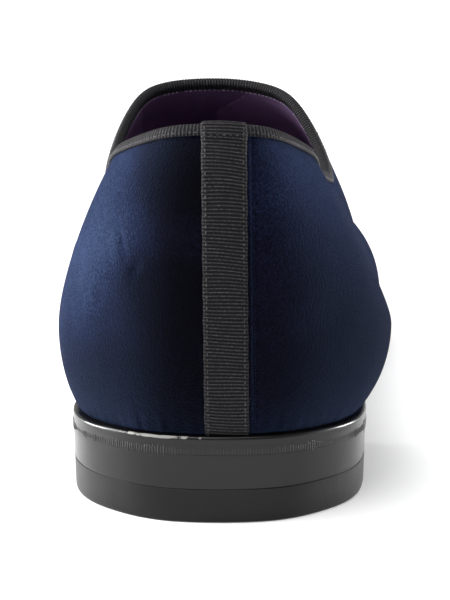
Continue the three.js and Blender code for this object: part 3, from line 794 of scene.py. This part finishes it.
backTurns = np.linspace(0, 0.2, 300)
besideSeam = seamLine["across"] + np.linspace(*upperSizes["seamSpread"], upperSizes["seamColumns"])
seamTurns = np.interp(besideSeam, upperFace(backTurns, 0.4)[:, 0], backTurns)
turns = upperTurns(upperSizes["openingColumns"], upperSizes["vampColumns"], seamTurns)
points, normals, below = upperGrid(turns, upperSizes["rows"])
openEdge = np.abs(turns) <= throatTurn + 1e-9
faces = shellFaces(len(turns), upperSizes["rows"], openEdge)
relief = pressed(points, creases) + seamTrough(points)
aboveFoot = below[:, -1:] - below
runs = runAlong(points[:, -1])
pucker = sum(np.sin(runs * pitch + start) * share for pitch, start, share in upperSizes["puckerWaves"])
fade = np.exp(-((aboveFoot / upperSizes["puckerHeight"]) ** 2))
relief += pucker[:, None] * upperSizes["puckerDepth"] * fade
thick = last["wall"] * taper(below)
outside = points + normals * relief[..., None]
velvetBack = points - normals * (thick * upperSizes["velvetShare"])[..., None]
# Pile tone from the patches above: the pile's lie with painted light and painted shade
napAndPaintedLight = nearPatches(points, napAndPaintedLightPatches).ravel()
upperVelvet = makePiece("upperVelvet", together(outside, velvetBack), faces, velvet,
                        {"napAndPaintedLight": np.concatenate([napAndPaintedLight, napAndPaintedLight])})

liningDepth = thick * upperSizes["vampLiningShare"] - pressed(points, liningCreases)
liningFace = points - normals * liningDepth[..., None]
vampLining = makePiece("vampLining", together(velvetBack, liningFace), faces, lining)
print("upper made")

# The quarter lining lies over the vamp lining; from the arch its front edges climb to the ridge inside
quarterSizes = {
    "columns": 110, "rows": 60, "reach": 0.6, "thickness": 0.36,
    "outerFront": (0.44, 1.53), "innerFront": (0.4, 0.35),  # where it leaves the topline, its climb
}


def quarterTop(turns):
    around = np.abs(turns)
    tops = topLevel(turns)
    for side, key in ((1, "outerFront"), (-1, "innerFront")):
        start, climb = quarterSizes[key]
        front = topLevel(np.array([side * start]))[0] + climb * (around - start)
        tops = np.where((turns * side > 0) & (around >= start), np.minimum(front, tops), tops)
    return tops


def quarterLiningPiece():
    half = spreadTurns(0, quarterSizes["reach"], quarterSizes["columns"])
    around = np.concatenate([-half[1:][::-1], half])
    rows, columns = quarterSizes["rows"], len(around)
    shares = np.linspace(0, 1, rows) * 0.985 + 0.008
    levelsHere, lengths = sectionLevels(around, shares, quarterTop(around))
    whole = sectionLevels(around, shares)[1]
    belowHere = (whole - lengths)[:, None] + shares[None, :] * lengths[:, None]
    at, normal = upperFace(around[:, None], levelsHere), faceNormal(around[:, None], levelsHere)
    wall = last["wall"] * taper(belowHere)
    off = (wall * upperSizes["vampLiningShare"])[..., None]
    outer = at - normal * (off - 0.06)
    inner = at - normal * (off + quarterSizes["thickness"])
    return makePiece("quarterLining", together(outer, inner), sheetFaces(columns, rows), quarterLeatherPaintedLighter,
                     sharpAngle=50)


quarterLining = quarterLiningPiece()
print("lining made")

# The topline's ribbon: a U of grosgrain over the edge
bindingSizes = {
    "outer": 2.3, "inner": 2.3, "ribbon": 0.42, "clearance": 0.05, "pitch": 0.78, "depth": 0.2,
    "columnsPerRib": 5,
}


def toplineFrames(count):
    dense = np.linspace(-throatTurn, throatTurn, 2401)
    path = upperFace(dense, topLevel(dense))
    run = runAlong(path)
    turn = np.interp(np.arange(count) / count * run[-1], run, dense)
    level = topLevel(turn)
    point, out = upperFace(turn, level), faceNormal(turn, level)
    way = unit(np.roll(point, -1, 0) - np.roll(point, 1, 0))
    return {"turn": turn, "level": level, "point": point, "out": out,
            "past": unit(np.cross(out, way)), "length": run[-1]}


def belowEdge(edge, distance, off):
    target = edge["point"] - edge["past"] * distance
    turn, level = nearestOn(edge["turn"], edge["level"], target)
    return upperFace(turn, level) + faceNormal(turn, level) * off


def place(edge, out, past):
    return edge["point"] + edge["out"] * out + edge["past"] * past


wholeEdge = toplineFrames(600)
ribCount = round(wholeEdge["length"] / bindingSizes["pitch"])
edge = toplineFrames(ribCount * bindingSizes["columnsPerRib"])


def bindingPiece():
    near = bindingSizes["clearance"]
    far = near + bindingSizes["ribbon"]
    wall = last["wall"] * upperSizes["edgeShare"]
    middle = -wall / 2
    rings, shown = [], []

    def add(ring, face):
        rings.append(ring)
        shown.append(np.full(len(ring), float(face)))

    def arc(off, lift, angles, face):
        for angle in angles:
            turn = math.radians(angle)
            add(place(edge, middle + (wall / 2 + off) * math.cos(turn), lift * math.sin(turn)), face)

    outer, inner = bindingSizes["outer"], bindingSizes["inner"]
    innerWall = -last["wall"] * taper(inner)
    for distance, off, face in (
        (outer, near, 0), (outer + 0.05, far * 0.6, 0.3), (outer - 0.05, far, 1),
        (outer * 0.66, far + 0.08, 1), (outer * 0.3, far + 0.06, 1),
    ):
        add(belowEdge(edge, distance, off), face)
    arc(far, far + 0.12, (0, 25, 50, 75, 105, 130, 155, 180), 1)
    for distance, off, face in (
        (inner * 0.4, -wall - far - 0.04, 1), (inner * 0.8, innerWall - far, 1),
        (inner, innerWall - far * 0.7, 0.3), (inner * 0.95, innerWall - near, 0),
        (inner * 0.4, -wall - near, 0),
    ):
        add(belowEdge(edge, distance, off), face)
    arc(near, near, (180, 120, 60, 0), 0)
    columns = len(edge["turn"])
    ribs = np.tile(np.arange(columns) / bindingSizes["columnsPerRib"], len(rings))
    faces = gridFaces(len(rings) + 1, columns, wrap=True)
    faces = [tuple(i % (len(rings) * columns) for i in face) for face in faces]
    return makePiece("toplineBinding", np.concatenate(rings), faces, ribbon,
                     {"ribs": ribs, "shown": np.concatenate(shown)})


ribs = ribTree()
toplineBinding = runTree(bindingPiece(), ribs, {"Depth": bindingSizes["depth"] * mm}, ribbon)
print("topline binding made", ribCount, "ribs")

# The strap up the back
strapSizes = {
    "width": 9.7, "inside": 5, "topShift": 1.0, "footShift": 1.7, "ribbon": 0.4, "pitch": 0.78,
    "depth": 0.2, "rowsPerRib": 6, "columns": 20, "footGap": 0.2,
    "low": 0.08, "high": 0.62,  # off the velvet, and off it where the strap crosses the binding
}
backLevels, backLengths = sectionLevels(np.array([0.0]), np.linspace(0, 1, 400))
backLength = backLengths[0]
backRows = round((backLength - strapSizes["footGap"]) / strapSizes["pitch"]) * strapSizes["rowsPerRib"]


def backPoint(distance, x):
    level = np.interp(distance, np.linspace(0, backLength, 400), backLevels[0])
    start = upperFace(0.0, level)[..., 0]
    turn = np.full(np.broadcast(distance, x).shape, 1e-4)
    for _ in range(8):
        turn = turn * (x - start) / (upperFace(turn, level)[..., 0] - start)
    return upperFace(turn, level), faceNormal(turn, level)


def strapPath(x, lift):  # from the foot up, over the binding and down inside
    down = np.linspace(backLength - strapSizes["footGap"], 0, backRows)
    shift = mix(strapSizes["topShift"], strapSizes["footShift"], down / backLength)
    point, out = backPoint(down, upperFace(0.0, 0.0)[0] + shift + x)
    pastBinding = smoothStep(down, bindingSizes["outer"] - 0.1, bindingSizes["outer"] + 1.6)
    over = mix(strapSizes["high"], strapSizes["low"], pastBinding)
    path = point + out * (over + lift)[:, None]
    wall = last["wall"] * upperSizes["edgeShare"]
    top, outwards = point[-1], out[-1]
    past = unit(np.cross(outwards, [1.0, 0, 0]))
    past = past if past[2] > 0 else -past
    reach = strapSizes["high"] + lift
    angles = np.radians(np.linspace(0, 180, 22)[1:])
    arc = top + np.outer((-wall / 2 + (wall / 2 + reach) * np.cos(angles)), outwards)
    arc = arc + np.outer((reach + 0.15) * np.sin(angles), past)
    inner = np.linspace(0, strapSizes["inside"], 40)[1:]
    point, out = backPoint(inner, upperFace(0.0, 0.0)[0] + strapSizes["topShift"] + x)
    depth = last["wall"] * taper(inner) * 1.12
    depth = depth + mix(strapSizes["high"], 0.1, smoothStep(inner, 2, 3.5)) + lift
    return np.concatenate([path, arc, point - out * depth[:, None]])


def strapPiece():
    columns = strapSizes["columns"]
    across = np.linspace(1, -1, columns + 1)
    offsets = across * strapSizes["width"] / 2
    front, back = [], []
    for share, x in zip(across, offsets):
        pillow = 0.06 * (1 - share**2) + 0.05 * np.exp(-(((abs(share) - 0.93) / 0.06) ** 2))
        thin = 0.16 * smoothStep(abs(share), 0.96, 1)
        front.append(strapPath(x, strapSizes["ribbon"] + pillow - thin))
        back.append(strapPath(x, 0.0))
        heights = front[-1][:, 2]
        wobble = 0.05 * share * np.sin(heights * 0.9 + share * 1.5) + 0.03 * np.sin(heights * 2.3)
        front[-1][:, 0] += wobble * abs(share)
        back[-1][:, 0] += wobble * abs(share)
    rows = len(front[0])
    run = runAlong(front[columns // 2])
    shown = np.repeat(1 - smoothStep(np.abs(across), 0.94, 1), rows)
    slant = 0.22 * across[:, None] + 0.16 * np.sin(run[None, :] * 0.31 + across[:, None] * 1.7)
    ribsAt = (run[None, :] / strapSizes["pitch"] + slant).ravel()
    values = {"ribs": np.concatenate([ribsAt, ribsAt]),
              "shown": np.concatenate([shown, np.zeros(len(shown))])}
    return makePiece("backStrap", together(front, back), sheetFaces(columns + 1, rows), ribbon, values)


backStrap = runTree(strapPiece(), ribs, {"Depth": strapSizes["depth"] * mm}, ribbon)
print("back strap made")

# Stitches
stitchSizes = {
    "Pitch": 1.25, "Length": 0.85, "Thickness": 0.3, "Depth": 0.34, "Unevenness": 0.45, "Fading": 0,
}
stitchRows = {
    "fold": 2.7, "strapEdge": 0.85, "strapLift": 0.2, "outer": 0.5, "outerLift": 0.66,
    "inner": 0.4, "innerLift": 0.28,
}
stitches = alongPathTree("stitchRow")
inMetres = inputSizes(stitchSizes)
strapFace = strapSizes["ribbon"] + stitchRows["strapLift"]
strapEdge = strapSizes["width"] / 2 - stitchRows["strapEdge"]
strapSeam = [strapPath(x, strapFace)[::4] for x in (strapEdge, -strapEdge)]
foldSeam = []
for x in np.linspace(strapEdge, -strapEdge, 24):
    path = strapPath(x, strapFace)
    below = path[:, 2].max() - path[:backRows, 2]
    foldSeam.append(path[np.abs(below - stitchRows["fold"]).argmin()])
strapSeam.append(np.array(foldSeam))
strapStitches = runTree(makePaths("strapStitches", strapSeam), stitches, inMetres, thread)
outerBelow = bindingSizes["outer"] - stitchRows["outer"]
bindingSeam = [belowEdge(wholeEdge, outerBelow, stitchRows["outerLift"])]
bindingStitches = runTree(makePaths("bindingStitches", bindingSeam, True), stitches, inMetres, thread)
innerBelow = bindingSizes["inner"] - stitchRows["inner"]
innerFace = last["wall"] * taper(innerBelow) + bindingSizes["clearance"] + bindingSizes["ribbon"]
innerSeam = [belowEdge(wholeEdge, innerBelow, -innerFace - stitchRows["innerLift"])]
liningStitches = runTree(makePaths("liningStitches", innerSeam, True), stitches, inMetres, paleThread)
print("stitches made")

# Sole, heel and sock
soleSizes = {"stations": 520, "recess": 0.05}


def ringPoints(turns, inset, heightAt):
    spot = outline(turns, inset)
    return np.concatenate([spot, heightAt(spot[:, 1])[:, None]], -1)


def evenTurns(count, inset=0.0):  # evenly round the sole's edge, from the back by the outer side
    dense = np.linspace(0, 1, 4000)
    outer = runAlong(outline(dense, inset))
    half = np.interp(np.linspace(0, outer[-1], count // 2 + 1), outer, dense)
    return np.concatenate([half, -half[1:-1][::-1]])


def ringsPiece(name, rings, material, sharpAngle, lip=None):  # from the top cap to the bottom cap
    columns = len(rings[0])
    across = 24
    half = columns // 2
    points = list(rings)
    faces = gridFaces(len(rings), columns, wrap=True)
    for ring, first in ((rings[0], 0), (rings[-1], (len(rings) - 1) * columns)):
        start = sum(len(p) for p in points)
        inner = []
        for i in range(1, half):
            a, b = ring[i], ring[columns - i]
            shares = np.linspace(0, 1, across + 1)[1:-1]
            inner.append(a + (b - a) * shares[:, None])
        points.append(np.concatenate(inner))

        def index(i, k):
            if k == 0 or i in (0, half):
                return first + i
            if k == across:
                return first + (columns - i) % columns
            return start + (i - 1) * (across - 1) + k - 1

        for i in range(half):
            for k in range(across):
                quad = [index(i, k), index(i + 1, k), index(i + 1, k + 1), index(i, k + 1)]
                kept = list(dict.fromkeys(quad))
                if len(kept) > 2:
                    faces.append(tuple(kept))
    values = None
    if lip:
        values = {"lip": np.concatenate(lip + [np.zeros(len(p)) for p in points[len(rings):]])}
    return makePiece(name, np.concatenate(points), faces, material, values, sharpAngle)


def soleEdgePiece():
    turns = evenTurns(soleSizes["stations"])
    thickness = last["soleThickness"]
    profile = [  # inwards from the edge, down from the top
        (last["ledge"] + 1.6, 0.0), (0.8, 0.0), (0.4, 0.05), (0.14, 0.22), (0.02, 0.5), (0.0, 0.8),
        (0.0, 1.5), (0.06, 1.72), (soleSizes["recess"], 1.85), (soleSizes["recess"], thickness - 0.3),
        (0.06, thickness - 0.05), (0.2, thickness), (4.2, thickness),
        (4.45, thickness - 0.28), (4.7, thickness),
    ]
    rings = [ringPoints(turns, inset, aboveSole(-drop)) for inset, drop in profile]
    # Where the painted lip highlight shows: strongest at the back, left of the strap, fainter elsewhere
    # on the lip
    lipHighlightMask = np.exp(-(((rings[0][:, 0] + 12) / 8) ** 2)) * (rings[0][:, 1] < 20) + 0.55
    lip = [lipHighlightMask * (0.02 < drop < 0.6) for inset, drop in profile]
    return ringsPiece("soleEdge", rings, edgeLeather, 40, lip)


soleEdge = soleEdgePiece()


def sockPiece():
    turns = evenTurns(300, last["ledge"] + last["wall"])
    inset = last["ledge"] + last["wall"] + 0.15
    profile = [(2.4, 2.75), (1.2, 2.95), (0.3, 3.1), (0.0, 2.9), (0.0, 0.3)]
    rings = [ringPoints(turns, inset + extra, aboveSole(lift)) for extra, lift in profile]
    return ringsPiece("sock", rings, sockLeather, 60)


sock = sockPiece()


heelSizes = {"breast": last["breast"], "hollow": 4.5, "taper": 0.5, "steps": 110, "across": 40,
             "topPiece": highOf("heel_top_piece").z}


def heelRing(inset, height):
    def behindBreast(turn):
        return outline(turn, inset)[1] < heelSizes["breast"] - inset

    turns = lastTurn(behindBreast, 0.5) * np.linspace(-1, 1, 2 * heelSizes["steps"] + 1)
    arc = outline(turns, inset)
    left, right = arc[0], arc[-1]
    shares = np.linspace(0, 1, heelSizes["across"] + 1)[1:-1, None]
    front = mix(right, left, shares) - np.array([0, heelSizes["hollow"] * 4]) * shares * (1 - shares)
    ring = np.concatenate([arc, front])
    z = height(ring[:, 1]) if callable(height) else np.full(len(ring), height)
    return np.concatenate([ring, z[:, None]], -1)


def heelPiece(name, profile, material):
    rings = [heelRing(inset, height) for inset, height in profile]
    columns = len(rings[0])
    faces = gridFaces(len(rings), columns, wrap=True)
    steps, across = heelSizes["steps"], heelSizes["across"]
    arcCount = 2 * steps + 1
    points = list(rings)
    for which in (0, len(rings) - 1):
        ring = rings[which]
        middle = heelSizes["breast"] * 0.5
        centre = np.array([ring[:arcCount, 0].mean(), middle, ring[:, 2].mean()])
        if callable(profile[which][1]):
            centre[2] = profile[which][1](middle)
        start = sum(len(p) for p in points)
        points.append(centre[None, :])
        faces.extend(
            (which * columns + i, which * columns + (i + 1) % columns, start) for i in range(columns)
        )
    return makePiece(name, np.concatenate(points), faces, material, sharpAngle=35)


def stackPiece():
    def taperAt(share):
        return heelSizes["taper"] * 0.6 * (1 - share) + 0.12 * math.sin(math.pi * share)

    def between(share):
        def height(y):
            return mix(heelSizes["topPiece"], underside(y), share)

        return height

    profile = [(0.07, between(1.0)), (taperAt(0.9), between(0.99))]
    profile += [(taperAt(share), between(share)) for share in np.linspace(0.9, 0.08, 14)]
    profile += [(taperAt(0), between(0.03)), (taperAt(0) + 0.14, between(0.0))]
    return heelPiece("heelStack", profile, edgeLeather)


heelStack = stackPiece()
topHeight = heelSizes["topPiece"]
heelTopPiece = heelPiece("heelTopPiece", [
    (0.44, topHeight - 0.02), (0.3, topHeight - 0.14), (0.32, topHeight - 0.5),
    (0.42, topHeight * 0.5), (0.5, 0.9), (0.62, 0.35), (0.95, 0.08), (1.4, 0.0),
], topRubber)
print("sole and heel made")

# Wheel marks round the seat
tickSizes = {
    "Pitch": 0.66, "Length": 2.7, "Thickness": 0.36, "Depth": 0.36, "Unevenness": 0.35, "Fading": 0.6,
}
tickRow = {"reach": 0.31, "below": 3.3}  # to this turn on both sides, under the sole's top
ticks = alongPathTree("wheelTicks", upright=True)
seatTurns = np.linspace(-tickRow["reach"], tickRow["reach"], 500)
tickPath = [ringPoints(seatTurns, soleSizes["recess"], aboveSole(-tickRow["below"]))]
wheelTicks = runTree(makePaths("wheelTicks", tickPath), ticks, inputSizes(tickSizes), tickLeather)
print("wheel marks made")

# What each piece rides on and stands for, with the finish slot each is listed under
for piece, slotName, nodes in [
    (upperVelvet, "velvet", ["upper"]),
    (vampLining, "lining_leather", []),
    (quarterLining, "lining_leather", []),
    (toplineBinding, "ribbon", ["topline_binding"]),
    (backStrap, "ribbon", ["back_strap"]),
    (strapStitches, "ribbon", []),
    (bindingStitches, "ribbon", []),
    (liningStitches, "ribbon", []),
    (sock, "lining_leather", ["insole"]),
    (soleEdge, "sole_leather", ["outsole"]),
    (wheelTicks, "sole_leather", []),
    (heelStack, "sole_leather", ["heel_stack"]),
    (heelTopPiece, "top_piece_rubber", ["heel_top_piece"]),
]:
    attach(piece, "root")
    if nodes:
        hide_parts(*nodes)

# Floor, light and camera
floorMesh = bpy.data.meshes.new("floor")
reach = 6
corners = [(-reach, -reach, 0), (reach, -reach, 0), (reach, reach, 0), (-reach, reach, 0)]
floorMesh.from_pydata(corners, [], [(0, 1, 2, 3)])
floor = bpy.data.objects.new("floor", floorMesh)
scene.collection.objects.link(floor)
floorMaterial, floorTree, floorShader = newMaterial("paleFloor", {
    "Base Color": (0.85, 0.85, 0.85, 1), "Roughness": 0.8, "Emission Color": (1, 1, 1, 1),
})
away = addNode(floorTree, "ShaderNodeVectorMath", {"operation": "LENGTH"}, {0: objectPlace(floorTree)})
glow = mapRange(floorTree, away.outputs["Value"], 0.25, 1.6, 0.2, 0.75)
floorTree.links.new(glow, floorShader.inputs["Emission Strength"])
floorMesh.materials.append(floorMaterial)

world = bpy.data.worlds.new("studio")
world.use_nodes = True
world.node_tree.nodes["Background"].inputs["Color"].default_value = (1, 1, 1, 1)
world.node_tree.nodes["Background"].inputs["Strength"].default_value = 0.4
scene.world = world
scene.view_settings.view_transform = "Standard"


def softbox(name, location, target, size, power):
    data = bpy.data.lights.new(name, "AREA")
    data.shape = "RECTANGLE"
    data.size, data.size_y = size
    data.energy = power
    lamp = bpy.data.objects.new(name, data)
    lamp.location = location
    lamp.rotation_mode = "QUATERNION"
    lamp.rotation_quaternion = (Vector(target) - Vector(location)).to_track_quat("-Z", "Y")
    scene.collection.objects.link(lamp)


softbox("sideLeft", (-1.2, 0.0, 0.55), (0, -0.08, 0.04), (0.7, 0.9), 26)
softbox("sideRight", (1.2, 0.2, 0.5), (0, -0.08, 0.04), (0.6, 0.8), 1)
softbox("overhead", (-0.25, -0.35, 1.5), (0, -0.04, 0.05), (1.1, 1.1), 22)
softbox("stripLeft", (-0.5, 0.06, 0.05), (0, -0.12, 0.0), (0.26, 0.09), 3.6)
softbox("stripRight", (0.5, 0.08, 0.05), (0, -0.12, 0.0), (0.22, 0.09), 3.2)

cameraSizes = {
    "behindHeel": 441, "height": 134, "side": 0.8, "pitch": 10.78,
    "focal": 2086, "frameHeight": 600,  # in picture points
}
camera = bpy.data.objects.new("camera", bpy.data.cameras.new("camera"))
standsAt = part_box("heel_top_piece")[0].y / mm - cameraSizes["behindHeel"]
camera.location = Vector((cameraSizes["side"], standsAt, cameraSizes["height"])) * mm
camera.rotation_euler = (math.radians(90 - cameraSizes["pitch"]), 0, 0)
camera.data.sensor_width = 36
camera.data.lens = cameraSizes["focal"] / cameraSizes["frameHeight"] * 36
camera.data.clip_start = 0.01
camera.data.clip_end = 50
scene.collection.objects.link(camera)
scene.camera = camera
print("stage set")
